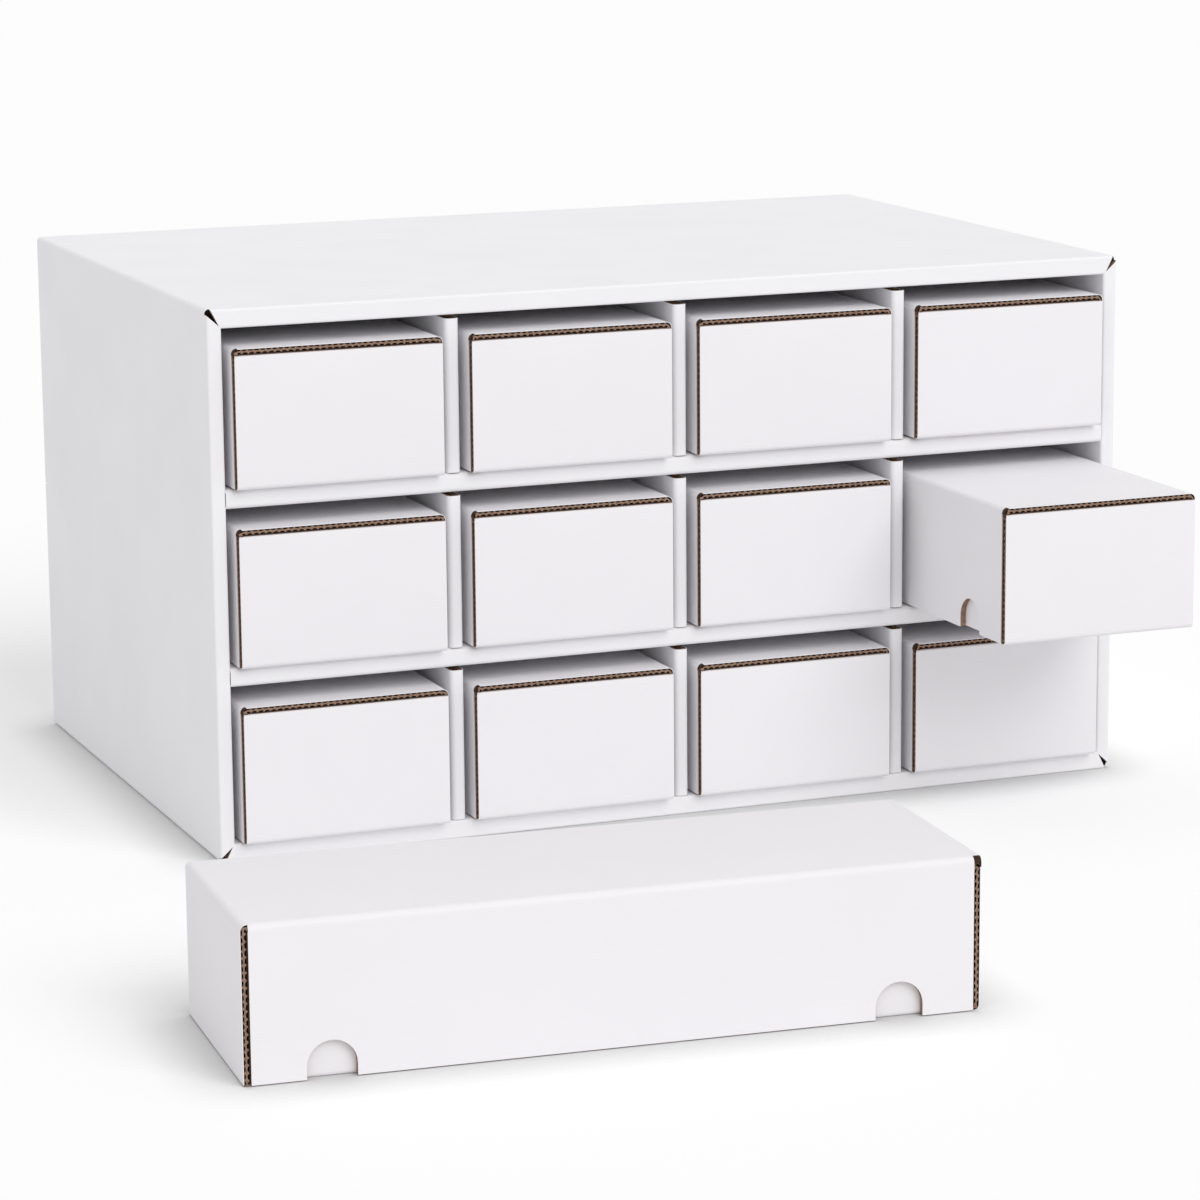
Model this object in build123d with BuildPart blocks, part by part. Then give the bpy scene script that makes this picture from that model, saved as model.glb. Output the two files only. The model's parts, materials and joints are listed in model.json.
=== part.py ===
from build123d import *
import math
import os

os.makedirs("parts", exist_ok=True)

# Board thickness and the air left where one piece rests against another, in millimetres
board = 3.0
seat = 0.3
fold_radius = 2.5
hem_radius = 1.3

# One card box, which is also the drawer
box_length = 330.0
box_width = 108.0
box_height = 70.0
flap_lift = 0.5
flap_proud = 0.8
notch_radius = 11.0
notch_height = 17.0
notch_inset = 38.0

# The corrugated core that shows along a raw edge: a folded paper between two liners
liner = 0.4
flute_pitch = 6.4
flute_land = 0.8
flute_paper = 0.35
flute_depth = 4.0
flute_margin = 4.0

# The house that holds the drawers
rows = 3
columns = 4
side_gap = 3.6
head_gap = 9.5
stile_width = 7.6
divider_width = 7.4
shelf_height = 9.6
drawer_proud = 6.0
rear_gap = 1.0
divider_setback = 0.6
divider_short = 2.0
shelf_end_gap = 0.5
mitre_gap = 1.4
mitre_closing = 1.2
flap_seam = 1.0

# Tabs that hold the shelves and the dividers in their slots
tab_length = 36.0
tab_inset = 60.0
side_tab_depth = 4.0
floor_tab_depth = 5.0
slot_clearance = 0.3

# Drawers are named by row from the top and column from the left
pulled_drawer = (2, 4)
pulled_out = 101.5

# The thirteenth box, standing on its own in front of the house
loose_left = 92.4
loose_ahead = 343.0
loose_turn = -4.1

bay_width = box_width + 2 * side_gap
bay_height = box_height + seat + head_gap
inner_width = columns * bay_width + (columns - 1) * divider_width
inner_height = rows * bay_height + (rows - 1) * shelf_height
case_width = inner_width + 2 * stile_width
case_height = inner_height + 2 * shelf_height
back_thickness = 2 * board
bay_depth = box_length - drawer_proud + rear_gap
case_depth = bay_depth + back_thickness
front = -case_depth / 2
bay_back = front + bay_depth
case_middle = case_height / 2
wall_height = box_height - board - seat
wall_left = -box_width / 2 + board + seat
tray_back = box_length - board - seat
tab_rows = (front + tab_inset, bay_back - tab_inset)


def row_floor(row):
    """Height of the surface that a row of drawers slides on, row 1 at the top."""
    return shelf_height + (rows - row) * (bay_height + shelf_height)


def column_middle(column):
    """Middle of a column of drawers across the house, column 1 at the left."""
    return (column - (columns + 1) / 2) * (bay_width + divider_width)


def divider_middle(gap):
    """Middle of the divider that stands between column gap and the next one."""
    return (column_middle(gap) + column_middle(gap + 1)) / 2


# The house is one folded blank: an outer sleeve, hems rolled round the front
# edge, linings that run back inside, and two layers of flaps at the back
with BuildPart() as outer_case:
    with BuildSketch(Plane.XZ.offset(-front)):
        with Locations((0, case_middle)):
            RectangleRounded(case_width, case_height, fold_radius)
    extrude(amount=-case_depth)
    with BuildSketch(Plane.XZ.offset(-front)):
        with Locations((0, case_middle)):
            Rectangle(inner_width, inner_height)
    extrude(amount=-bay_depth, mode=Mode.SUBTRACT)
    rim = outer_case.faces().sort_by(Axis.Y)[0]
    fillet(rim.edges(), hem_radius)
    # Air between the sleeve and its linings
    with BuildSketch(Plane.XZ.offset(-front - board)):
        with Locations((0, case_middle)):
            Rectangle(case_width - 2 * board, case_height - 2 * board)
            Rectangle(inner_width + 2 * board, inner_height + 2 * board, mode=Mode.SUBTRACT)
    extrude(amount=board - bay_depth, mode=Mode.SUBTRACT)
    # The hems stop short of each other at the four corners
    with BuildSketch(Plane.XZ.offset(-front)):
        for across in (-1, 1):
            for up in (-1, 1):
                tip = (
                    across * (inner_width / 2 + mitre_closing),
                    case_middle + up * (inner_height / 2 + mitre_closing),
                )
                corner = (across * case_width / 2, case_middle + up * case_height / 2)
                with BuildLine():
                    Polyline(
                        tip,
                        (corner[0] - across * mitre_gap, corner[1] + up * mitre_gap),
                        (corner[0] + across * mitre_gap, corner[1] - up * mitre_gap),
                        close=True,
                    )
                make_face()
    extrude(amount=-board, mode=Mode.SUBTRACT)
    # Slots in the linings for the tabs of the shelves
    for row in range(1, rows):
        slot_middle = row_floor(row) - board / 2
        for across in (-1, 1):
            with BuildSketch(Plane.YZ.offset(across * (inner_width / 2 + board / 2))):
                with Locations(*[(y, slot_middle) for y in tab_rows]):
                    Rectangle(tab_length + 2 * slot_clearance, board + 2 * slot_clearance)
            extrude(amount=board / 2, both=True, mode=Mode.SUBTRACT)
    # Slots in the floor lining for the lowest dividers
    with BuildSketch(Plane.XY.offset(shelf_height)):
        for gap in range(1, columns):
            with Locations(*[(divider_middle(gap), y) for y in tab_rows]):
                Rectangle(divider_width + 2 * slot_clearance, tab_length + 2 * slot_clearance)
    extrude(amount=-board, mode=Mode.SUBTRACT)
    # Seam where the upper and lower back flaps meet
    with BuildSketch(Plane.XZ.offset(front)):
        with Locations((0, case_middle)):
            Rectangle(case_width, flap_seam)
    extrude(amount=board, mode=Mode.SUBTRACT)
outer_case.part.label = "outer_case"
export_step(outer_case.part, "parts/outer_case.step")


# A shelf is a sheet folded over at the front, with air between its two layers
shelf_depth = bay_depth - seat
shelf_width = inner_width - 2 * shelf_end_gap
shelf_names = {1: "shelf_upper", 2: "shelf_lower"}
for row in range(1, rows):
    top = row_floor(row)
    with BuildPart() as shelf:
        with BuildSketch(Plane.YZ):
            with BuildLine():
                back = front + shelf_depth
                bottom = top - shelf_height
                Polyline((back, top - board), (back, top), (front, top), (front, bottom), (back, bottom))
                Line((back, bottom), (back, bottom + board))
                Polyline(
                    (back, bottom + board),
                    (front + board, bottom + board),
                    (front + board, top - board),
                    (back, top - board),
                )
            profile = make_face()
            fillet(profile.vertices().group_by(Axis.X)[0], fold_radius)
        extrude(amount=shelf_width / 2, both=True)
        # Tabs at both ends, cut from the upper layer
        with BuildSketch(Plane.XY.offset(top)):
            for across in (-1, 1):
                tab_width = shelf_end_gap + side_tab_depth
                middle = across * (shelf_width / 2 + tab_width / 2)
                with Locations(*[(middle, y) for y in tab_rows]):
                    Rectangle(tab_width, tab_length)
        extrude(amount=-board)
        # Slots in the upper layer for the dividers that stand on it
        with BuildSketch(Plane.XY.offset(top)):
            for gap in range(1, columns):
                with Locations(*[(divider_middle(gap), y) for y in tab_rows]):
                    Rectangle(divider_width + 2 * slot_clearance, tab_length + 2 * slot_clearance)
        extrude(amount=-board, mode=Mode.SUBTRACT)
    shelf.part.label = shelf_names[row]
    export_step(shelf.part, f"parts/{shelf_names[row]}.step")


# A divider is a strip folded double, with its fold at the front and its raw
# upper edge just short of the shelf above
divider_depth = bay_depth - divider_setback - seat
divider_front = front + divider_setback
for row in range(1, rows + 1):
    for gap in range(1, columns):
        middle = divider_middle(gap)
        foot = row_floor(row)
        with BuildPart() as divider:
            with BuildSketch(Plane.XY.offset(foot + seat / 2)):
                with BuildLine():
                    half = divider_width / 2
                    core = half - board
                    back = divider_front + divider_depth
                    Polyline(
                        (middle - core, back),
                        (middle - half, back),
                        (middle - half, divider_front),
                        (middle + half, divider_front),
                        (middle + half, back),
                        (middle + core, back),
                        (middle + core, divider_front + board),
                        (middle - core, divider_front + board),
                        close=True,
                    )
                profile = make_face()
                fillet(profile.vertices().group_by(Axis.Y)[0], fold_radius)
            extrude(amount=bay_height - divider_short - seat / 2)
            # Tabs that drop through the slots, two layers thick
            with BuildSketch(Plane.XY.offset(foot + seat / 2)):
                for side in (-1, 1):
                    layer = middle + side * (half - board / 2)
                    with Locations(*[(layer, y) for y in tab_rows]):
                        Rectangle(board, tab_length)
            extrude(amount=-floor_tab_depth)
        divider.part.label = f"divider_r{row}_{gap}"
        export_step(divider.part, f"parts/divider_r{row}_{gap}.step")


# The tray of a box: floor, two long walls and doubled ends. Its own frame has
# the front end at y = 0, the middle of the box at x = 0 and the floor at z = 0
panel_left = -box_width / 2 + flap_proud
tray_middle = (wall_left + box_width / 2) / 2
hollow_width = box_width / 2 - wall_left - 2 * board
with BuildPart() as tray:
    # Both walls fold up from the floor
    with BuildSketch(Plane.XZ.offset(-board)) as end_view:
        with Locations((tray_middle, wall_height / 2)):
            Rectangle(box_width / 2 - wall_left, wall_height)
        fillet(end_view.vertices().group_by(Axis.Y)[0], fold_radius)
    extrude(amount=board - tray_back)
    # The front end panel folds up from the floor too, and runs past the left
    # wall, to cover the edge of the side flap
    with BuildSketch(Plane.YZ.offset(panel_left)) as side_view:
        with Locations((board / 2, wall_height / 2)):
            Rectangle(board, wall_height)
        fillet(side_view.vertices().sort_by_distance((0, 0))[0], fold_radius)
    extrude(amount=box_width / 2 - panel_left)
    with BuildSketch(Plane.XY.offset(board)):
        with Locations((tray_middle, tray_back / 2)):
            Rectangle(hollow_width, tray_back - 4 * board)
    extrude(amount=wall_height, mode=Mode.SUBTRACT)
tray.part.label = "tray"


def flute_mouths(run):
    """Draw the mouths of the flutes along a raw edge, with the board's outer face along y = 0."""
    count = int((run - 2 * flute_margin) / flute_pitch)
    half_base = (flute_pitch - flute_land) / 2
    depth = board - 2 * liner - flute_paper
    for index in range(count):
        outer_mouth = (index - (count - 0.5) / 2) * flute_pitch
        inner_mouth = outer_mouth + flute_pitch / 2
        for middle, base, tip in (
            (outer_mouth, -liner, -liner - depth),
            (inner_mouth, liner - board, liner - board + depth),
        ):
            Polygon((middle - half_base, base), (middle + half_base, base), (middle, tip), align=None)


# The lid of a box: the top, a side flap as tall as the box with two thumb
# notches, and an ear over the rear end
lid_left = -box_width / 2
with BuildPart() as lid:
    with BuildSketch(Plane.XZ):
        with BuildLine():
            Polyline(
                (lid_left + board, box_height - board),
                (box_width / 2, box_height - board),
                (box_width / 2, box_height),
                (lid_left, box_height),
                (lid_left, flap_lift),
                (lid_left + board, flap_lift),
                close=True,
            )
        profile = make_face()
        fillet(profile.vertices().sort_by_distance((lid_left, box_height))[0], board)
    extrude(amount=board - box_length)
    # The side flap starts behind the front end panel and stops short of the ear
    with BuildSketch(Plane.YZ.offset(lid_left)):
        with Locations(((board + seat) / 2, wall_height / 2)):
            Rectangle(board + seat, wall_height)
        with Locations((box_length - board - seat / 2, wall_height / 2)):
            Rectangle(seat, wall_height)
    extrude(amount=board, mode=Mode.SUBTRACT)
    # The ear folds down from the top over the rear end
    with BuildSketch(Plane.YZ.offset(panel_left)):
        with BuildLine():
            Polyline(
                (box_length - board, box_height),
                (box_length - board, flap_lift),
                (box_length, flap_lift),
                (box_length, box_height - board),
            )
            CenterArc((box_length - board, box_height - board), board, 0, 90)
        make_face()
    extrude(amount=box_width / 2 - seat - panel_left)
    # Thumb notches in the lower edge of the side flap
    with BuildSketch(Plane.YZ.offset(lid_left)):
        for notch in (notch_inset, box_length - notch_inset):
            with Locations((notch, notch_height - notch_radius)):
                Circle(notch_radius)
            with Locations((notch, (notch_height - notch_radius) / 2)):
                Rectangle(2 * notch_radius, notch_height - notch_radius)
    extrude(amount=board, mode=Mode.SUBTRACT)
    # Mouths of the flutes along the front edge of the top
    top_run = box_width - 2 * board
    with BuildSketch(Plane((board / 2, 0, box_height), x_dir=(1, 0, 0), z_dir=(0, -1, 0))):
        flute_mouths(top_run)
    extrude(amount=-flute_depth, mode=Mode.SUBTRACT)
lid.part.label = "lid"

# Where the upright raw edges of a box can be seen, they have their flutes too
edge_run = wall_height - fold_radius
with BuildPart() as open_tray:
    add(tray.part)
    edge_middle = (wall_height + fold_radius) / 2
    with BuildSketch(Plane((panel_left, 0, edge_middle), x_dir=(0, 0, -1), z_dir=(-1, 0, 0))):
        flute_mouths(edge_run)
    extrude(amount=-flute_depth, mode=Mode.SUBTRACT)
with BuildPart() as open_lid:
    add(lid.part)
    edge_middle = wall_height / 2
    with BuildSketch(Plane((panel_left, box_length, edge_middle), x_dir=(0, 0, 1), z_dir=(-1, 0, 0))):
        flute_mouths(edge_run)
    extrude(amount=-flute_depth, mode=Mode.SUBTRACT)


def place_box(place, tray_name, lid_name, edges_show=False):
    """Write one tray and one lid at the given place in the house's frame."""
    tray_part = open_tray.part if edges_show else tray.part
    lid_part = open_lid.part if edges_show else lid.part
    for piece, name in ((tray_part, tray_name), (lid_part, lid_name)):
        placed = piece.moved(place)
        placed.label = name
        export_step(placed, f"parts/{name}.step")


for row in range(1, rows + 1):
    for column in range(1, columns + 1):
        is_pulled = (row, column) == pulled_drawer
        ahead = drawer_proud + (pulled_out if is_pulled else 0)
        place = Location((column_middle(column), front - ahead, row_floor(row) + seat))
        place_box(place, f"tray_r{row}c{column}", f"lid_r{row}c{column}", edges_show=is_pulled)

# The loose box lies across, its side flap to the front and its front end to the right
turn = math.radians(90 + loose_turn)
flap_corner = (-case_width / 2 - loose_left, front - loose_ahead)
reach_x = -box_width / 2 * math.cos(turn) - box_length * math.sin(turn)
reach_y = -box_width / 2 * math.sin(turn) + box_length * math.cos(turn)
loose_place = Location((flap_corner[0] - reach_x, flap_corner[1] - reach_y, 0), (0, 0, 90 + loose_turn))
place_box(loose_place, "loose_tray", "loose_lid", edges_show=True)

print("house", round(case_width, 2), round(case_depth, 2), round(case_height, 2))
print("bay", round(bay_width, 2), round(bay_depth, 2), round(bay_height, 2))
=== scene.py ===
# %% [markdown]
# # A card storage box of white corrugated board
#
# The object is a house of folded board with twelve drawers, and a thirteenth box
# that stands in front of it. Everything on it is one material, 3 mm corrugated
# board, so the lesson is about how a plain folded sheet gets its character: soft
# folds, a faint washboard from the flutes inside, and raw edges where the brown
# core shows between its liners.

# %% Load the frame
import json
import math

import bmesh
import bpy
from mathutils import Matrix, Vector


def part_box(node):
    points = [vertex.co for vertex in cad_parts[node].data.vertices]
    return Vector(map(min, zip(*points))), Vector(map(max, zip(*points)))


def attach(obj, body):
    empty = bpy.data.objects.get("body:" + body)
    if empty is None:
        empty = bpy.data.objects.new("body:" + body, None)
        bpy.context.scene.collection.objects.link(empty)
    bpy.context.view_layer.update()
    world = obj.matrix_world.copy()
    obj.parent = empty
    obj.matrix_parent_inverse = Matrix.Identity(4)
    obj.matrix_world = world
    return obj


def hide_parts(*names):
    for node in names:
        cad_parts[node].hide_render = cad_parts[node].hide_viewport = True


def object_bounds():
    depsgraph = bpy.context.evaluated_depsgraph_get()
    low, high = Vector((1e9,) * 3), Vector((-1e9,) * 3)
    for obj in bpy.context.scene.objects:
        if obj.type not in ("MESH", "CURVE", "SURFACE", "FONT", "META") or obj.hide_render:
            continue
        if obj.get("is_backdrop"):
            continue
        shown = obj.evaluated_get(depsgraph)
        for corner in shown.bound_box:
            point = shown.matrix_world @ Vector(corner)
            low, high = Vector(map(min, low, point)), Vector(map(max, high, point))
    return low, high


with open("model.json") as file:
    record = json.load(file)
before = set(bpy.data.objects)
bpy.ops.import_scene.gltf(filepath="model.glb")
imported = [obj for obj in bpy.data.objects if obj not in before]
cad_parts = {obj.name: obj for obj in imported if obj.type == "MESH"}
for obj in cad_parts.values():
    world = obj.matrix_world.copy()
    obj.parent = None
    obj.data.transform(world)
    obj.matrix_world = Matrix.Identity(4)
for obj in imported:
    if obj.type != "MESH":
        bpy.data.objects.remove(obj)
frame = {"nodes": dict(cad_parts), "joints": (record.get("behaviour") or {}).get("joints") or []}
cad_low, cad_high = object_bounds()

nodes = frame["nodes"]
MM = 0.001
print(len(nodes), "pieces in the frame")

# %% [markdown]
# ## The camera
#
# The picture was taken from the front left and a little above, with a long lens
# that keeps the upright edges nearly parallel. The camera comes first, because
# how large each detail shows decides how finely it has to be modelled: here one
# millimetre on the front of the house is about two pixels. The lens is a little
# wider than the house alone would need, to keep the pulled drawer in the frame.

# %% Place the camera
camera_data = bpy.data.cameras.new("camera")
camera_data.sensor_width = 36.0
camera_data.lens = 126.67
camera_data.clip_start = 0.1
camera_data.clip_end = 60.0
camera = bpy.data.objects.new("camera", camera_data)
bpy.context.scene.collection.objects.link(camera)
bpy.context.scene.camera = camera

camera_yaw = math.radians(21.531)
camera_pitch = math.radians(11.695)
camera_roll = math.radians(-0.5)
camera.location = (-0.81808, -2.12446, 0.55320)
turn_up = Matrix.Rotation(math.pi / 2 - camera_pitch, 4, "X")
turn_side = Matrix.Rotation(-camera_yaw, 4, "Z")
turn_roll = Matrix.Rotation(camera_roll, 4, "Z")
camera.rotation_euler = (turn_side @ turn_up @ turn_roll).to_euler()
print("lens", camera_data.lens, "mm, camera at", tuple(camera.location))

# %% [markdown]
# ## Colours and nodes
#
# Colours are written as they look on a screen, in hex, and turned to linear
# light once. One small function adds a node, sets its inputs and makes its
# links, and every material below is a list of such calls.


# %% Helpers for materials
def linear(hex_colour):
    """A screen colour such as F5F3F6 as linear red, green, blue and alpha."""
    parts = [int(hex_colour[i : i + 2], 16) / 255 for i in (0, 2, 4)]
    dark, gamma = 0.04045, 2.4
    return tuple(p / 12.92 if p <= dark else ((p + 0.055) / 1.055) ** gamma for p in parts) + (1.0,)


def new_material(name):
    """An empty material and its node tree."""
    material = bpy.data.materials.new(name)
    material.use_nodes = True
    tree = material.node_tree
    tree.nodes.clear()
    return material, tree


def add_node(tree, kind, settings=None, **inputs):
    """Add a node, set its properties, and set or link its inputs by name."""
    node = tree.nodes.new(kind)
    for key, value in (settings or {}).items():
        setattr(node, key, value)
    for key, value in inputs.items():
        name = key.replace("_", " ")
        socket = node.inputs[int(name)] if name.isdigit() else node.inputs[name]
        if isinstance(value, bpy.types.NodeSocket):
            tree.links.new(value, socket)
        else:
            socket.default_value = value
    return node


box_white = "F5F3F6"
print("the white of a box in linear light:", [round(c, 3) for c in linear(box_white)])

# %% [markdown]
# ## What the board is made of
#
# Corrugated board is papers glued together: a white coated liner outside, a
# brown kraft liner inside, and between them papers pressed into waves, the
# flutes. The raw edges of this one show two rows of fine flutes, a wave every
# 3.1 mm, with a plain paper between them, 3 mm in all. A fold crushes the
# flutes and leaves a soft round edge; a cut shows the waves. So nearly the whole
# object can be made by one function that folds a sheet along a path, as the
# factory does, and opens its cut ends.

# %% Sizes of the board, in millimetres
board = 3.0
liner = 0.3
middle_paper = 0.7
flute_pitch = 3.1
# The two rows of flutes were made apart, so their waves drift against each other
flute_drift = 0.93
mouth_depth = 3.0
# An ordinary fold, and the tighter roll over the top of a box's end
fold_radius, roll_radius = 2.5, 1.2
# The air that lets one piece move beside another, and the least that keeps two faces apart
seat, hair = 0.3, 0.02

# The papers, in the order of each mesh's materials
# The core paper is painted darker than it is, as the shade inside the board, and the last paper is
# nearly black, painted shade for deep hollows and gaps
WHITE, KRAFT, CUT, CORE_PAINTED_SHADE, BLACK_PAINTED_SHADE = range(5)
print("a mouth is", board - 2 * liner, "mm high and", mouth_depth, "mm deep")

# %% Sizes of one card box, in millimetres
box_length, box_width, box_height = 330.0, 108.0, 70.0
flap_lift, flap_proud = 0.5, 0.8
notch_radius, notch_height, notch_inset = 11.0, 17.0, 38.0
wall_height = box_height - board - seat
wall_left = -box_width / 2 + board + seat
panel_left = -box_width / 2 + flap_proud
tray_back = box_length - board - seat
# Lid and right wall meet just below the line that the lid turns on, so no light
# shows between them
crease_drop = 0.05
crease_height = box_height - board - crease_drop
print("waves across a box:", int(box_width / flute_pitch))

# %% [markdown]
# ## Folding a sheet
#
# A folded sheet is described by the corners of its outer face. Each corner is
# replaced by an arc, and every point of the outer face gets a partner on the
# inner face. Where the fold is tighter than the board is thick, the inner
# partners fall on one point, which is what happens in a real crease.

# %% Fold a path
fold_steps = 7


def fold_path(corners, radius):
    """Pairs of outer and inner points along a sheet whose inside is on the right of its path.

    The radius is one number for every fold, or a list with one for each fold.
    """
    radii = [radius] * len(corners) if isinstance(radius, float) else [0, *radius, 0]
    points = [Vector(c) for c in corners]
    pairs = []
    for index, corner in enumerate(points):
        if index in (0, len(points) - 1):
            other = points[1] if index == 0 else points[-2]
            along = (other - corner).normalized() if index == 0 else (corner - other).normalized()
            pairs.append((corner, corner + board * Vector((along.y, -along.x))))
            continue
        before = (corner - points[index - 1]).normalized()
        after = (points[index + 1] - corner).normalized()
        inward = Vector((before.y, -before.x)), Vector((after.y, -after.x))
        bend = radii[index]
        centre = corner + bend * (inward[0] + inward[1])
        crease = corner + board * (inward[0] + inward[1])
        for step in range(fold_steps + 1):
            angle = math.pi / 2 * step / fold_steps
            out = math.cos(angle) * inward[0] + math.sin(angle) * inward[1]
            inner = crease if bend <= board else centre - (bend - board) * out
            pairs.append((centre - bend * out, inner))
    return pairs


corner_pairs = fold_path([(0, 0), (0, 10), (10, 10)], fold_radius)
print(len(corner_pairs), "pairs of points in a sheet with one fold")

# %% Keep the ends of a path closed
end_margin = 0.5
# On a leg too short for that margin, this share of it
short_leg_share = 0.4


def cut_near_ends(pairs):
    """Add a pair just inside each end of the path, so an opened edge keeps its closed ends."""
    ends = []
    for end, beside in ((pairs[0][0], pairs[1][0]), (pairs[-1][0], pairs[-2][0])):
        leg = beside - end
        ends.append(end + leg.normalized() * min(end_margin, short_leg_share * leg.length))
    first, last = ends
    first_inner = first + (pairs[0][1] - pairs[0][0])
    last_inner = last + (pairs[-1][1] - pairs[-1][0])
    return [pairs[0], (first, first_inner), *pairs[1:-1], (last, last_inner), pairs[-1]]


print("with its ends cut,", len(cut_near_ends(corner_pairs)), "pairs")

# %% [markdown]
# ## Opening a raw edge
#
# Where a raw edge can be seen, the end of the sheet isn't closed flat: a ring of
# liner stays, and behind it lies a hollow 3 mm deep, in which the core papers
# will stand. Real flutes run on through the whole sheet. The end of the hollow is
# painted nearly black instead, as the shade deep in real flutes, so it looks as
# deep as they are and costs few faces.

# %% Join two loops of points
# Points nearer than this, in millimetres, count as one
same_point = 1e-7


def run_quads(bm, loop_a, loop_b, kinds):
    """Join two loops of points by quads, each with the paper of its kind."""
    count = len(loop_a)
    for i in range(count):
        j = (i + 1) % count
        corners = []
        for vert in (loop_a[i], loop_a[j], loop_b[j], loop_b[i]):
            if not corners or (vert.co - corners[-1].co).length > same_point:
                corners.append(vert)
        if len(corners) > 2 and (corners[0].co - corners[-1].co).length <= same_point:
            corners.pop()
        if len(corners) > 2:
            bm.faces.new(corners).material_index = kinds[i]


print("points nearer than", same_point, "mm count as one")


# %% Open a raw edge
def open_edge(bm, loop, pairs, place, end, inward, outer_kinds):
    """Close a sheet's raw edge by a ring of liner and a hollow behind it.

    The loop goes along the outer face and back along the inner one, and place turns
    path and run coordinates into a point of the box.
    """
    count = len(pairs)
    shrunk = []
    for outer, inner in pairs[1:-1]:
        across = (inner - outer).normalized() * liner
        shrunk.append((outer + across, inner - across))
    ring = [p[0] for p in shrunk] + [p[1] for p in reversed(shrunk)]
    mouth = [bm.verts.new(place(p, end)) for p in ring]
    deep = [bm.verts.new(place(p, end + inward * mouth_depth)) for p in ring]
    inner_count = len(shrunk)
    for i in range(inner_count - 1):
        quad = (loop[i + 1], loop[i + 2], mouth[i + 1], mouth[i])
        bm.faces.new(quad).material_index = outer_kinds[i + 1]
        a, b = count + 1 + i, inner_count + i
        quad = (loop[a], loop[a + 1], mouth[b + 1], mouth[b])
        # In a tight fold the inner points are one, and the quad is a triangle
        corners = quad if quad[0].co != quad[1].co else (quad[0], quad[2], quad[3])
        bm.faces.new(corners).material_index = CORE_PAINTED_SHADE
    for outer_loop, inner_loop in (
        ((count - 2, count - 1, count, count + 1), (inner_count, inner_count - 1)),
        ((2 * count - 2, 2 * count - 1, 0, 1), (0, 2 * inner_count - 1)),
    ):
        corners = [loop[k] for k in outer_loop] + [mouth[k] for k in inner_loop]
        bm.faces.new(corners).material_index = CUT
    # The hollow's walls take the core paper, painted dark as shade, and its end is painted nearly
    # black as the shade deep in the flutes
    run_quads(bm, mouth, deep, [CORE_PAINTED_SHADE] * len(ring))
    bm.faces.new(deep).material_index = BLACK_PAINTED_SHADE


print("a raw edge keeps", liner, "mm of liner on each side")

# %% [markdown]
# ## The core in a raw edge
#
# The middle paper stands in the hollow as a ribbon. On each side it has a tooth
# for every wave, which reaches to the liner where the knife has smeared the wave
# against it. Between the teeth it is dark, as in real board: there the core paper
# is painted a dark brown as the shade between the flutes, so no picture of waves
# has to be painted on.

# %% Stand the core papers in an opened edge
samples_per_wave, fewest_samples = 9, 8
# How much of the room up to the liner a tooth fills
tooth_reach = 0.97
# The ribbon's front edge lies this far inside the mouth, and is ragged by this much
ribbon_setback, ribbon_ragged, ragged_turn = 0.2, 0.12, 1.7
# Keeps a leg of no length from dividing by nothing
shortest_leg = 1e-9


def tooth(turns):
    """How far a wave reaches to the liner, from 0 to 1: a narrow peak in each turn."""
    return ((1 + math.sin(2 * math.pi * turns)) / 2) ** 3


def even_stations(pairs, lengths, samples):
    """Outer and inner points at even distances along the path."""
    stations = []
    leg = 0
    for k in range(samples + 1):
        s = lengths[-1] * k / samples
        while leg < len(lengths) - 2 and s > lengths[leg + 1]:
            leg += 1
        share = (s - lengths[leg]) / max(lengths[leg + 1] - lengths[leg], shortest_leg)
        stations.append([pairs[leg][side].lerp(pairs[leg + 1][side], share) for side in (0, 1)])
    return stations


def add_core(bm, pairs, place, end, inward, phase):
    """Stand the core in an opened edge, as a toothed ribbon that follows the fold."""
    lengths = [0.0]
    for (outer_a, inner_a), (outer_b, inner_b) in zip(pairs, pairs[1:]):
        lengths.append(lengths[-1] + ((outer_a + inner_a) / 2 - (outer_b + inner_b) / 2).length)
    samples = max(fewest_samples, round(lengths[-1] / flute_pitch * samples_per_wave))
    near_rows, far_rows = [], []
    for k, (outer, inner) in enumerate(even_stations(pairs, lengths, samples)):
        across = (outer - inner).normalized()
        middle = (outer + inner) / 2
        room = (outer - inner).length / 2 - liner - middle_paper / 2
        turns = lengths[-1] * k / samples / flute_pitch + phase
        waves = (turns, turns * flute_drift + phase)
        teeth = [tooth_reach * room * tooth(wave) for wave in waves]
        ragged = ribbon_setback + ribbon_ragged * math.sin(k * ragged_turn + phase)
        for rows, reach, depth in (
            (near_rows, teeth, ragged),
            (far_rows, (0, 0), mouth_depth - hair),
        ):
            sides = (
                middle + across * (middle_paper / 2 + reach[0]),
                middle - across * (middle_paper / 2 + reach[1]),
            )
            rows.append([bm.verts.new(place(p, end + inward * depth)) for p in sides])
    # The ribbon's sides and far face take the core paper, painted dark as shade; its near edge is
    # the cut
    for k in range(samples):
        near_a, near_b, far_a, far_b = near_rows[k], near_rows[k + 1], far_rows[k], far_rows[k + 1]
        for quad, kind in (
            ((near_a[0], near_b[0], far_b[0], far_a[0]), CORE_PAINTED_SHADE),
            ((near_a[1], far_a[1], far_b[1], near_b[1]), CORE_PAINTED_SHADE),
            ((near_a[0], near_a[1], near_b[1], near_b[0]), CUT),
            ((far_a[0], far_b[0], far_b[1], far_a[1]), CORE_PAINTED_SHADE),
        ):
            bm.faces.new(quad).material_index = kind
    for k in (0, samples):
        quad = (near_rows[k][0], near_rows[k][1], far_rows[k][1], far_rows[k][0])
        bm.faces.new(quad).material_index = CORE_PAINTED_SHADE


peak, next_quarter = tooth_reach * tooth(0.25), tooth_reach * tooth(0.5)
print("a tooth fills", peak, "of its room, and a quarter wave on", round(next_quarter, 2))

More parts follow.
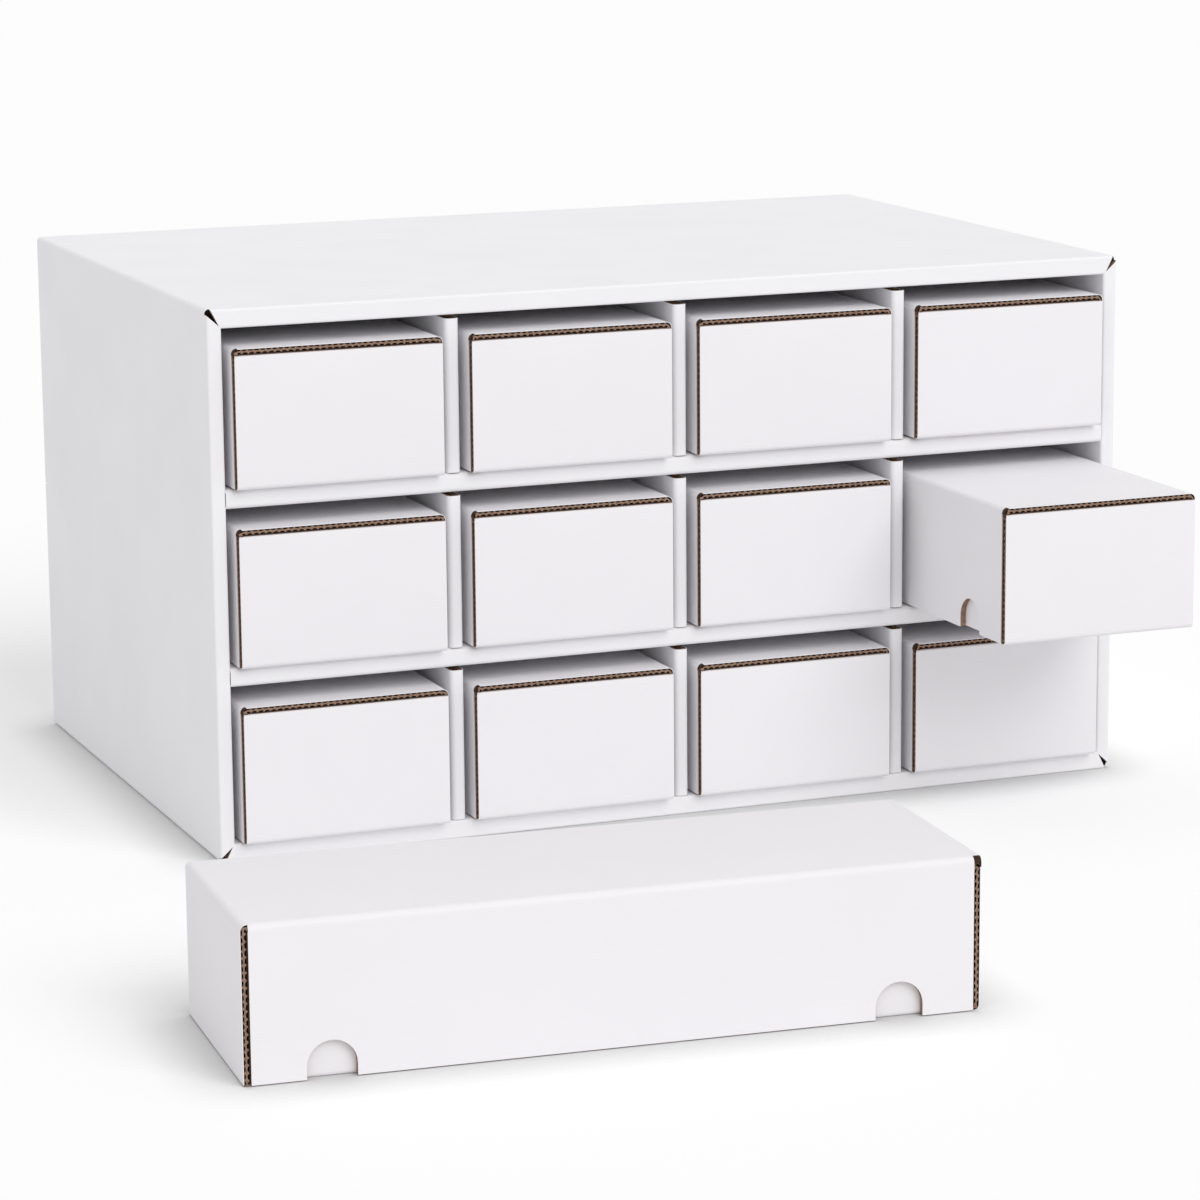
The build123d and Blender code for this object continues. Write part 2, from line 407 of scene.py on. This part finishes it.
# %% [markdown]
# ## From the path to a solid sheet
#
# The pairs are carried along the run of the sheet, like dough through a die, so
# the outer and inner face and both long cut edges come from one loop of points.
# A raw edge that can be seen is then opened, and any other is closed by a flat
# face, which keeps the mesh small.


# %% Make a sheet
def add_sheet(bm, pairs, place, near, far, open_near=False, open_far=False, phase=0.0, bare=0):
    """Add a folded sheet that runs from near to far.

    The first strips of its outer face, as many as bare says, have lost their liner and show the
    core paper, painted dark as shade.
    """
    pairs = cut_near_ends(pairs)
    count = len(pairs)
    outline = [p[0] for p in pairs] + [p[1] for p in reversed(pairs)]
    # The bare strips take the core paper, painted dark as shade
    outer_kinds = [CORE_PAINTED_SHADE] * bare + [WHITE] * (count - 1 - bare)
    kinds = outer_kinds + [CUT] + [KRAFT] * (count - 1) + [CUT]
    loops = [[bm.verts.new(place(p, run)) for p in outline] for run in (near, far)]
    run_quads(bm, loops[0], loops[1], kinds)
    for loop, end, opened, inward in (
        (loops[0], near, open_near, 1),
        (loops[1], far, open_far, -1),
    ):
        if opened:
            open_edge(bm, loop, pairs, place, end, inward, outer_kinds)
            add_core(bm, pairs[1:-1], place, end, inward, phase)
        else:
            bm.faces.new(loop).material_index = CUT


print("a sheet with one fold has", 2 * len(cut_near_ends(corner_pairs)), "points in its loop")

# %% [markdown]
# ## A finished mesh
#
# A fold is one round surface and is shaded as one, and a cut edge stays sharp,
# so one angle decides which edges are smooth. Everything is drawn in millimetres
# and scaled to metres at the end. A path is drawn as it looks from the front,
# from the side or from above, whichever shows the folds of that sheet.

# %% Finish a mesh
# Faces that meet at less than this are one fold, at more they are a cut edge
softest_corner = math.radians(35)
weld_distance = 1e-5


def soften_folds(bm):
    """Shade the folds as one round surface, and leave every cut edge sharp."""
    for face in bm.faces:
        face.smooth = True
    for edge in bm.edges:
        edge.smooth = len(edge.link_faces) == 2 and edge.calc_face_angle() < softest_corner


def finish_mesh(bm, name, materials):
    """Turn a bmesh in millimetres into a mesh in metres with its papers."""
    bmesh.ops.remove_doubles(bm, verts=bm.verts, dist=weld_distance)
    bmesh.ops.recalc_face_normals(bm, faces=bm.faces)
    bmesh.ops.scale(bm, vec=(MM, MM, MM), verts=bm.verts)
    soften_folds(bm)
    mesh = bpy.data.meshes.new(name)
    bm.to_mesh(mesh)
    bm.free()
    for material in materials:
        mesh.materials.append(material)
    return mesh


print("folds are soft up to", round(math.degrees(softest_corner)), "degrees")


# %% Lay a path in one of three ways
def seen_from_front(point, run):
    return Vector((point.x, run, point.y))


def seen_from_side(point, run):
    return Vector((run, point.x, point.y))


def seen_from_above(point, run):
    return Vector((point.x, point.y, run))


sample = Vector((1, 2))
print("seen from the front, 1 across and 2 up and 3 deep is", tuple(seen_from_front(sample, 3)))

# %% [markdown]
# ## The papers
#
# The outer liner is bleached kraft with a thin clay coat, pressed smooth: a matte
# white with the faintest cloudiness, and under it the flutes telegraph through
# as a washboard of about a hundredth of a millimetre. The inner liner is plain
# unbleached kraft, brown with darker fibres. The core paper is rougher and
# greyer brown, painted darker here as the shade inside a raw edge, and the end of
# a hollow is painted nearly black as shade. Where a knife has cut the board its
# fibres stand a little and catch light. Each is a shader whose bump comes from real sizes.

# %% Find the way across the flutes
# On a wall the flutes run level, so its waves follow each other upwards. A face
# whose normal rises or sinks more than this lies flat: there they go sideways.
flat_from = 0.7


def paper_coordinates(tree):
    """Object coordinates, and the distance across the flutes, which turns with the face."""
    where = add_node(tree, "ShaderNodeTexCoord")
    axes = add_node(tree, "ShaderNodeSeparateXYZ", Vector=where.outputs["Object"])
    facing = add_node(tree, "ShaderNodeSeparateXYZ", Vector=where.outputs["Normal"])
    upright = add_node(
        tree, "ShaderNodeMath", {"operation": "ABSOLUTE"}, **{"0": facing.outputs["Z"]}
    )
    flat = add_node(
        tree,
        "ShaderNodeMath",
        {"operation": "GREATER_THAN"},
        **{"0": upright.outputs[0], "1": flat_from},
    )
    across = add_node(
        tree,
        "ShaderNodeMix",
        {"data_type": "FLOAT"},
        **{"0": flat.outputs[0], "2": axes.outputs["Z"], "3": axes.outputs["X"]},
    )
    return where.outputs["Object"], across.outputs[0]


flat_within = round(math.degrees(math.acos(flat_from)))
print("a face lies flat when its normal is within", flat_within, "degrees of upright")

# %% Coat the white liners
# In millimetres. Real fibres are about 0.03 wide; 0.6 is as fine as the picture can show
cloud_size, fibre_size = 45.0, 0.6
washboard_depth, fibre_height = 0.014, 0.02
paper_ior = 1.45


def coated_liner(name, colour, shade):
    """Clay-coated white liner: matte, faintly cloudy, with the flutes' washboard under it."""
    material, tree = new_material(name)
    place, across = paper_coordinates(tree)
    clouds = add_node(
        tree, "ShaderNodeTexNoise", Vector=place, Scale=1 / (cloud_size * MM), Detail=3.0
    )
    tint = add_node(
        tree,
        "ShaderNodeMix",
        {"data_type": "RGBA"},
        **{"0": clouds.outputs["Fac"], "6": linear(colour), "7": linear(shade)},
    )
    angle = add_node(
        tree,
        "ShaderNodeMath",
        {"operation": "MULTIPLY"},
        **{"0": across, "1": 2 * math.pi / (flute_pitch * MM)},
    )
    wave = add_node(tree, "ShaderNodeMath", {"operation": "SINE"}, **{"0": angle.outputs[0]})
    washboard = add_node(
        tree,
        "ShaderNodeBump",
        Strength=0.5,
        Distance=washboard_depth * MM,
        Height=wave.outputs[0],
    )
    fibre = add_node(
        tree,
        "ShaderNodeTexNoise",
        Vector=place,
        Scale=1 / (fibre_size * MM),
        Detail=4.0,
        Roughness=0.6,
    )
    nap = add_node(
        tree,
        "ShaderNodeBump",
        Strength=0.35,
        Distance=fibre_height * MM,
        Height=fibre.outputs["Fac"],
        Normal=washboard.outputs["Normal"],
    )
    gloss = add_node(
        tree,
        "ShaderNodeMapRange",
        Value=clouds.outputs["Fac"],
        **{"From Min": 0.3, "From Max": 0.7, "To Min": 0.5, "To Max": 0.62},
    )
    shader = add_node(
        tree,
        "ShaderNodeBsdfPrincipled",
        **{
            "Base Color": tint.outputs[2],
            "Roughness": gloss.outputs[0],
            "IOR": paper_ior,
            "Specular IOR Level": 0.35,
            "Normal": nap.outputs["Normal"],
        },
    )
    add_node(tree, "ShaderNodeOutputMaterial", Surface=shader.outputs["BSDF"])
    return material


# Bleached kraft with a clay coat: a cool matte white that takes soft light evenly
white_box = coated_liner("clay_coated_white_liner_box", box_white, "F1EFF2")
# The same paper on the house, painted a shade brighter and less violet, as the stronger light on
# the house's fronts
white_house_painted_brighter = coated_liner("clay_coated_white_liner_house_painted_brighter", "F8F7F9", "F3F2F5")
print("the washboard is", washboard_depth, "mm deep, a wave every", flute_pitch, "mm")


# %% Make the brown papers
def brown_paper(name, light, dark, fibre_mm, roughness, nap_mm):
    """Unbleached paper: two browns mottled by its fibres, rough and without any coat.

    Clumps of fibres mottle it about every fibre_mm, and stand up by about nap_mm.
    """
    material, tree = new_material(name)
    where = add_node(tree, "ShaderNodeTexCoord")
    fibre = add_node(
        tree,
        "ShaderNodeTexNoise",
        Vector=where.outputs["Object"],
        Scale=1 / (fibre_mm * MM),
        Detail=5.0,
        Roughness=0.65,
    )
    spread = add_node(
        tree,
        "ShaderNodeMapRange",
        Value=fibre.outputs["Fac"],
        **{"From Min": 0.35, "From Max": 0.65},
    )
    tint = add_node(
        tree,
        "ShaderNodeMix",
        {"data_type": "RGBA"},
        **{"0": spread.outputs[0], "6": linear(light), "7": linear(dark)},
    )
    nap = add_node(
        tree,
        "ShaderNodeBump",
        Strength=0.6,
        Distance=nap_mm * MM,
        Height=fibre.outputs["Fac"],
    )
    shader = add_node(
        tree,
        "ShaderNodeBsdfPrincipled",
        **{
            "Base Color": tint.outputs[2],
            "Roughness": roughness,
            "IOR": paper_ior,
            "Specular IOR Level": 0.2,
            "Normal": nap.outputs["Normal"],
        },
    )
    add_node(tree, "ShaderNodeOutputMaterial", Surface=shader.outputs["BSDF"])
    return material


# Unbleached kraft: warm brown, rough, with darker fibres
kraft_inside = brown_paper("unbleached_kraft_liner", "A98263", "8D6A50", 1.1, 0.85, 0.05)
# Where the knife went through: paler and greyer, its torn fibres catch the light
cut_board = brown_paper("knife_cut_board_edge", "A78C79", "7D6152", 0.8, 0.9, 0.12)
# Fluting inside a mouth: its brown is painted darker, as the shade where little light gets in
core_board_painted_shade = brown_paper("fluting_paper_painted_shade", "4E382C", "30221A", 0.9, 0.9, 0.05)
# The end of a mouth, painted nearly black as the shade deep in the flutes
flute_end_painted_black = brown_paper("painted_shade_of_the_flutes", "1E100A", "140A06", 1.5, 0.95, 0.02)
box_papers = [white_box, kraft_inside, cut_board, core_board_painted_shade, flute_end_painted_black]
house_papers_painted_brighter = [white_house_painted_brighter, kraft_inside, cut_board, core_board_painted_shade, flute_end_painted_black]
print("materials:", [m.name for m in bpy.data.materials if m.use_nodes])

# %% [markdown]
# ## The lid of a card box
#
# A card box is one sheet. Its top runs over into a side flap on the left and into
# an ear over the rear end, and the front edge of the top is left raw: that is the
# brown line along the top of each drawer. At both front corners the top starts to
# roll down and takes its raw edge along, and on the left that edge ends in a small
# hook. The flap has two half-round thumb notches in its lower edge, cut here as
# part of its outline.

# %% Cut the side flap
notch_steps = 16


def notched_outline():
    """The flap's outline, seen from the side, with its two thumb notches."""
    low, high = board + seat, box_length - board - seat
    outline = [(low, wall_height), (low, flap_lift)]
    for middle in (notch_inset, box_length - notch_inset):
        outline.append((middle - notch_radius, flap_lift))
        for step in range(notch_steps + 1):
            angle = math.pi - math.pi * step / notch_steps
            y = middle + notch_radius * math.cos(angle)
            z = notch_height - notch_radius + notch_radius * math.sin(angle)
            outline.append((y, z))
        outline.append((middle + notch_radius, flap_lift))
    return outline + [(high, flap_lift), (high, wall_height)]


def add_slab(bm, outline, low, high):
    """A flat piece of board with the given outline in y and z, its white face at x = low."""
    rings = [
        [bm.verts.new((x, y, z)) for y, z in outline]
        for x in (low, low + liner, high - liner, high)
    ]
    bm.faces.new(rings[0]).material_index = WHITE
    bm.faces.new(rings[-1]).material_index = KRAFT
    for ring_a, ring_b, kind in zip(rings, rings[1:], (WHITE, CUT, KRAFT)):
        run_quads(bm, ring_a, ring_b, [kind] * len(outline))


print(len(notched_outline()), "points round the flap")

# %% Make the lid
# The hook's size, and the air between it and the front panel
hook_length, hook_depth, hook_gap = 1.4, 0.6, 0.05
# The strips of the outer face from its lower edge almost to the end of the left fold
bare_strips = 8
# The ear's sheet starts this far before its fold
ear_lead = 0.4
# Where the waves start in each lid, in turns, and how much later in its ear
lid_phases, ear_delay = (0.0, 1.7, 3.1, 4.6), 2


def make_lid(phase):
    """The top with its side flap, its hook and its ear over the rear end."""
    bm = bmesh.new()
    side, top = box_width / 2, box_height
    rise = [(-side, wall_height), (-side, top), (side, top)]
    over = fold_path([*rise, (side, wall_height)], board)
    creased = fold_path([*rise, (side, crease_height)], board)
    top_end = box_length - board - ear_lead
    # The blank is slit here, so the front of the left fold shows its brown core, painted dark as
    # shade
    slit = board + seat
    add_sheet(
        bm, over, seen_from_front, 0, slit - hair, open_near=True, phase=phase, bare=bare_strips
    )
    add_sheet(bm, creased, seen_from_front, slit, top_end)
    add_slab(bm, notched_outline(), -side, -side + board)
    # The raw edge of the top turns down beside the front panel and ends as a hook, all in the core
    # paper painted dark as shade
    hook_end = wall_height - hook_length
    hook = [(0, hook_end), (hook_depth, hook_end), (hook_depth, wall_height), (0, wall_height)]
    rings = [[bm.verts.new((x, y, z)) for y, z in hook] for x in (-side, panel_left - hook_gap)]
    for ring in rings:
        bm.faces.new(ring).material_index = CORE_PAINTED_SHADE
    run_quads(bm, rings[0], rings[1], [CORE_PAINTED_SHADE] * len(hook))
    ear = fold_path([(top_end, top), (box_length, top), (box_length, flap_lift)], board)
    raw_ends = {"open_near": True, "open_far": True, "phase": phase + ear_delay}
    add_sheet(bm, ear, seen_from_side, panel_left, side - seat, **raw_ends)
    return finish_mesh(bm, "lid_mesh", box_papers)


lid_meshes = [make_lid(phase) for phase in lid_phases]
print("a lid has", len(lid_meshes[0].polygons), "faces")

# %% [markdown]
# ## The tray of a card box
#
# The rest of the sheet is the tray: a floor with a long wall folded up on each
# side, and at each end a panel that rolls over at its top and comes down again
# inside. The white face stays on the outside of every roll, so the inside of
# the ends is white and the long walls and the floor are brown. The front panel
# runs past the left wall to cover the flap's front edge, so its raw edge shows.

# %% Make the tray
tray_phases = (0.9, 2.6)


def make_tray(phase):
    """The floor with its long walls, and an end that is rolled over at the front and rear."""
    bm = bmesh.new()
    side, top, back = box_width / 2, wall_height, tray_back
    inner_low, inner_high = wall_left + board, side - board
    raw_ends = {"open_near": True, "open_far": True, "phase": phase}
    walls = [(side, crease_height), (side, 0), (wall_left, 0), (wall_left, top)]
    add_sheet(bm, fold_path(walls, fold_radius), seen_from_front, board, back - board)
    front = fold_path([(board, 0), (0, 0), (0, top), (board, top)], [fold_radius, roll_radius])
    add_sheet(bm, front, seen_from_side, panel_left, side, **raw_ends)
    front_inner = fold_path([(board, top), (2 * board, top), (2 * board, board)], roll_radius)
    add_sheet(bm, front_inner, seen_from_side, inner_low, inner_high)
    rear = [(back - board, top), (back, top), (back, 0), (back - board, 0)]
    rear = fold_path(rear, [roll_radius, fold_radius])
    add_sheet(bm, rear, seen_from_side, wall_left, side, **raw_ends)
    rear_inner = [(back - 2 * board, board), (back - 2 * board, top), (back - board, top)]
    rear_inner = fold_path(rear_inner, roll_radius)
    add_sheet(bm, rear_inner, seen_from_side, inner_low, inner_high)
    return finish_mesh(bm, "tray_mesh", box_papers)


tray_meshes = [make_tray(phase) for phase in tray_phases]
print("a tray has", len(tray_meshes[0].polygons), "faces")

# %% [markdown]
# ## Thirteen boxes
#
# Twelve boxes stand in the bays and one stands in front. Each takes its place
# from its CAD piece, and shares its mesh with others of its kind: a change to
# one sheet is a change to all. Four lids with their waves cut at different
# points keep the row of raw edges from repeating.

# %% Place the boxes in their bays
rows, columns = 3, 4


def add_piece(name, mesh, matrix, body, node):
    """Place a piece on the body it rides on, and hide the CAD piece it stands for."""
    piece = bpy.data.objects.new(name, mesh)
    bpy.context.scene.collection.objects.link(piece)
    piece.matrix_world = matrix
    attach(piece, body)
    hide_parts(node)


count = 0
for row in range(1, rows + 1):
    for column in range(1, columns + 1):
        tag = f"r{row}c{column}"
        body = f"drawer_{tag}"
        low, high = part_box(f"lid_{tag}")
        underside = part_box(f"tray_{tag}")[0].z
        place = Matrix.Translation(((low.x + high.x) / 2, low.y, underside))
        lid = lid_meshes[count % len(lid_meshes)]
        tray = tray_meshes[count % len(tray_meshes)]
        add_piece(f"card_box_lid_{tag}", lid, place, body, f"lid_{tag}")
        add_piece(f"card_box_tray_{tag}", tray, place, body, f"tray_{tag}")
        count += 1
print(count, "boxes placed")

# %% Place the loose box
# The fold that the loose lid turns on runs along its box, so it gives the box's angle
hinge = next(joint for joint in frame["joints"] if joint["name"] == "loose_lid_hinge")
fold_line = hinge["axis"]
loose_turn = math.atan2(-fold_line[0], fold_line[1])
low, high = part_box("loose_lid")
reach = [
    Matrix.Rotation(loose_turn, 3, "Z") @ Vector((x * MM, y * MM, 0))
    for x in (-box_width / 2, box_width / 2)
    for y in (0, box_length)
]
loose_x = high.x - max(r.x for r in reach)
loose_y = low.y - min(r.y for r in reach)
place = Matrix.Translation((loose_x, loose_y, 0)) @ Matrix.Rotation(loose_turn, 4, "Z")
add_piece("card_box_lid_loose", lid_meshes[1], place, "loose_lid", "loose_lid")
add_piece("card_box_tray_loose", tray_meshes[0], place, "house", "loose_tray")
print("the loose box is turned by", round(math.degrees(loose_turn), 1), "degrees")

# %% [markdown]
# ## Shelves and dividers
#
# A shelf is a sheet folded double at the front, and a divider is a strip folded
# double that stands on it. Their folds face the room, smooth and round. The
# dividers end just short of the shelf above, so from a little higher the eye
# falls on their raw upper edge, a brown U in the dark under the header.

# %% Sizes of the house, in millimetres
bay_width, bay_height, bay_depth = 115.2, 79.8, 325.0
divider_width, shelf_height = 7.4, 9.6
divider_setback, divider_short = 0.6, 2.0
# The CAD shelf's tabs go this far into the linings; out of sight, they aren't drawn
side_tab_depth = 4.0
# The frame's boxes are in metres
case_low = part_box("outer_case")[0]
house_front = case_low.y / MM
sheet_back = house_front + bay_depth - seat


def row_floor(row):
    return shelf_height + (rows - row) * (bay_height + shelf_height)


def divider_middle(gap):
    return (gap - columns / 2) * (bay_width + divider_width)


print("floors of the rows:", [round(row_floor(row), 1) for row in range(1, rows + 1)])

# %% Fold the shelves and the dividers
here = Matrix.Identity(4)
for row, node in ((1, "shelf_upper"), (2, "shelf_lower")):
    top = row_floor(row)
    bottom = top - shelf_height
    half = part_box(node)[1].x / MM - side_tab_depth
    corners = [(sheet_back, bottom), (house_front, bottom), (house_front, top), (sheet_back, top)]
    path = fold_path(corners, fold_radius)
    bm = bmesh.new()
    add_sheet(bm, path, seen_from_side, -half, half, open_near=True, open_far=True, phase=row)
    mesh = finish_mesh(bm, node + "_mesh", house_papers_painted_brighter)
    add_piece("folded_" + node, mesh, here, "house", node)

front_edge = house_front + divider_setback
for row in range(1, rows + 1):
    foot = row_floor(row) + seat / 2
    head = row_floor(row) + bay_height - divider_short
    for gap in range(1, columns):
        left = divider_middle(gap) - divider_width / 2
        right = divider_middle(gap) + divider_width / 2
        corners = [(right, sheet_back), (right, front_edge), (left, front_edge), (left, sheet_back)]
        path = fold_path(corners, fold_radius)
        bm = bmesh.new()
        add_sheet(bm, path, seen_from_above, foot, head, open_far=True, phase=row + gap)
        node = f"divider_r{row}_{gap}"
        mesh = finish_mesh(bm, node + "_mesh", house_papers_painted_brighter)
        add_piece("folded_" + node, mesh, here, "house", node)
print("9 dividers and 2 shelves folded")

# %% [markdown]
# ## The outer case
#
# The case is one large blank: its front edges are rolled inward as hems, and where
# two hems meet at a corner they are cut at 45 degrees and leave a V, in which the
# brown cut edges show; its back is painted nearly black as the shade in the gap.
# Its shape comes from the CAD piece as it is, and each face is given its paper by
# where it lies.

# %% Dress the outer case
behind_rim = case_low.y + board * MM
rim_tolerance = 0.1 * MM


def dress_case(face, vertices):
    """The paper that a face of the case shows."""
    within_hem = all(vertices[v].co.y < behind_rim + rim_tolerance for v in face.vertices)
    faces_sideways = abs(face.normal.y) < 0.05
    slanted = faces_sideways and min(abs(face.normal.x), abs(face.normal.z)) > 0.2
    if within_hem and slanted:
        return CUT
    # Front faces just behind the hems, seen through the V, are painted nearly black as the shade in
    # the gap
    faces_front = face.normal.y < -0.99
    gap_painted_black = faces_front and abs(face.center.y - behind_rim) < rim_tolerance
    return BLACK_PAINTED_SHADE if gap_painted_black else WHITE


case_piece = nodes["outer_case"].copy()
case_piece.data = nodes["outer_case"].data.copy()
case_piece.name = "hemmed_outer_case"
case_piece.parent = None
# The copy drops what marks it as a CAD piece
for key in list(case_piece.keys()):
    del case_piece[key]
bpy.context.scene.collection.objects.link(case_piece)
mesh = case_piece.data
mesh.materials.clear()
for material in house_papers_painted_brighter:
    mesh.materials.append(material)
for face in mesh.polygons:
    face.material_index = dress_case(face, mesh.vertices)
bm = bmesh.new()
bm.from_mesh(mesh)
soften_folds(bm)
bm.to_mesh(mesh)
bm.free()
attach(case_piece, "house")
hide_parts("outer_case")
print("the case has", len(mesh.polygons), "faces")

# %% [markdown]
# ## Floor, background and light
#
# The studio is white all round. The light is soft and even from everywhere, with
# one broad lamp from the front right and above, so that the left side falls a
# shade darker than the fronts. Only the camera and reflections see the background
# near full white; the object gets a plain level of light, at which its white
# stays just below the white of the room.


# %% Tell what is seen from what gives light
def seen_directly(tree):
    """1 where the camera, a reflection or something clear looks, 0 for the light it gives."""
    ray = add_node(tree, "ShaderNodeLightPath")
    total = ray.outputs["Is Camera Ray"]
    for way in ("Is Glossy Ray", "Is Transmission Ray"):
        either = add_node(
            tree, "ShaderNodeMath", {"operation": "MAXIMUM"}, **{"0": total, "1": ray.outputs[way]}
        )
        total = either.outputs[0]
    return total


# %% Lay the floor
# A painted contact shadow: the floor is darker right beside what stands on it, within this many
# metres
painted_shadow_reach = 0.035
# What the floor gives back to the object, and how far it reaches from the middle
floor_grey, floor_reach = (0.88, 0.88, 0.88, 1.0), 30.0

floor_material, tree = new_material("white_studio_floor_painted_contact_shadow")
nearness = add_node(tree, "ShaderNodeAmbientOcclusion", {"samples": 8}, Distance=painted_shadow_reach)
# What the camera sees of the floor is darkened near what stands on it: a painted contact shadow
contact = add_node(
    tree,
    "ShaderNodeMapRange",
    Value=nearness.outputs["AO"],
    **{"From Min": 0.4, "To Min": 0.68, "To Max": 1.08},
)
seen = add_node(tree, "ShaderNodeBsdfDiffuse", Color=contact.outputs[0])
real = add_node(tree, "ShaderNodeBsdfDiffuse", Color=floor_grey)
mix = add_node(
    tree,
    "ShaderNodeMixShader",
    **{"0": seen_directly(tree), "1": real.outputs[0], "2": seen.outputs[0]},
)
add_node(tree, "ShaderNodeOutputMaterial", Surface=mix.outputs[0])

bm = bmesh.new()
bmesh.ops.create_grid(bm, x_segments=1, y_segments=1, size=floor_reach)
floor_mesh = bpy.data.meshes.new("studio_floor")
bm.to_mesh(floor_mesh)
bm.free()
floor_mesh.materials.append(floor_material)
floor = bpy.data.objects.new("studio_floor", floor_mesh)
bpy.context.scene.collection.objects.link(floor)
floor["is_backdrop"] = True
print("contact shade within", painted_shadow_reach, "m")

# %% Light the room
room_light, shown_white = 0.7, 0.985
# A white face turned to the lamp gets this share of full white from it
lamp_share = 0.32
lamp_spread = math.radians(40)
towards_lamp = Vector((0.35, -1.0, 0.9))

world = bpy.data.worlds.new("studio")
bpy.context.scene.world = world
world.use_nodes = True
tree = world.node_tree
tree.nodes.clear()
plain = add_node(tree, "ShaderNodeBackground", Color=(1, 1, 1, 1), Strength=room_light)
shown = add_node(tree, "ShaderNodeBackground", Color=(1, 1, 1, 1), Strength=shown_white)
mix = add_node(
    tree,
    "ShaderNodeMixShader",
    **{"0": seen_directly(tree), "1": plain.outputs[0], "2": shown.outputs[0]},
)
add_node(tree, "ShaderNodeOutputWorld", Surface=mix.outputs[0])

lamp_data = bpy.data.lights.new("broad_lamp", "SUN")
lamp_data.energy = lamp_share * math.pi
lamp_data.angle = lamp_spread
lamp = bpy.data.objects.new("broad_lamp", lamp_data)
lamp.rotation_euler = towards_lamp.to_track_quat("Z", "Y").to_euler()
bpy.context.scene.collection.objects.link(lamp)

bpy.context.scene.view_settings.view_transform = "Standard"
print("lamp energy", round(lamp_data.energy, 3))

# %% [markdown]
# ## Sizes and finish
#
# The two boxes, of the frame and of the finished model, are printed, so that it is
# plain at once if a piece has grown out of the frame.

# %% Print the sizes and finish
bpy.context.view_layer.update()
shown_low, shown_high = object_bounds()
cad_size, shown_size = cad_high - cad_low, shown_high - shown_low
print("frame", [round(v, 4) for v in cad_size], "shown", [round(v, 4) for v in shown_size])
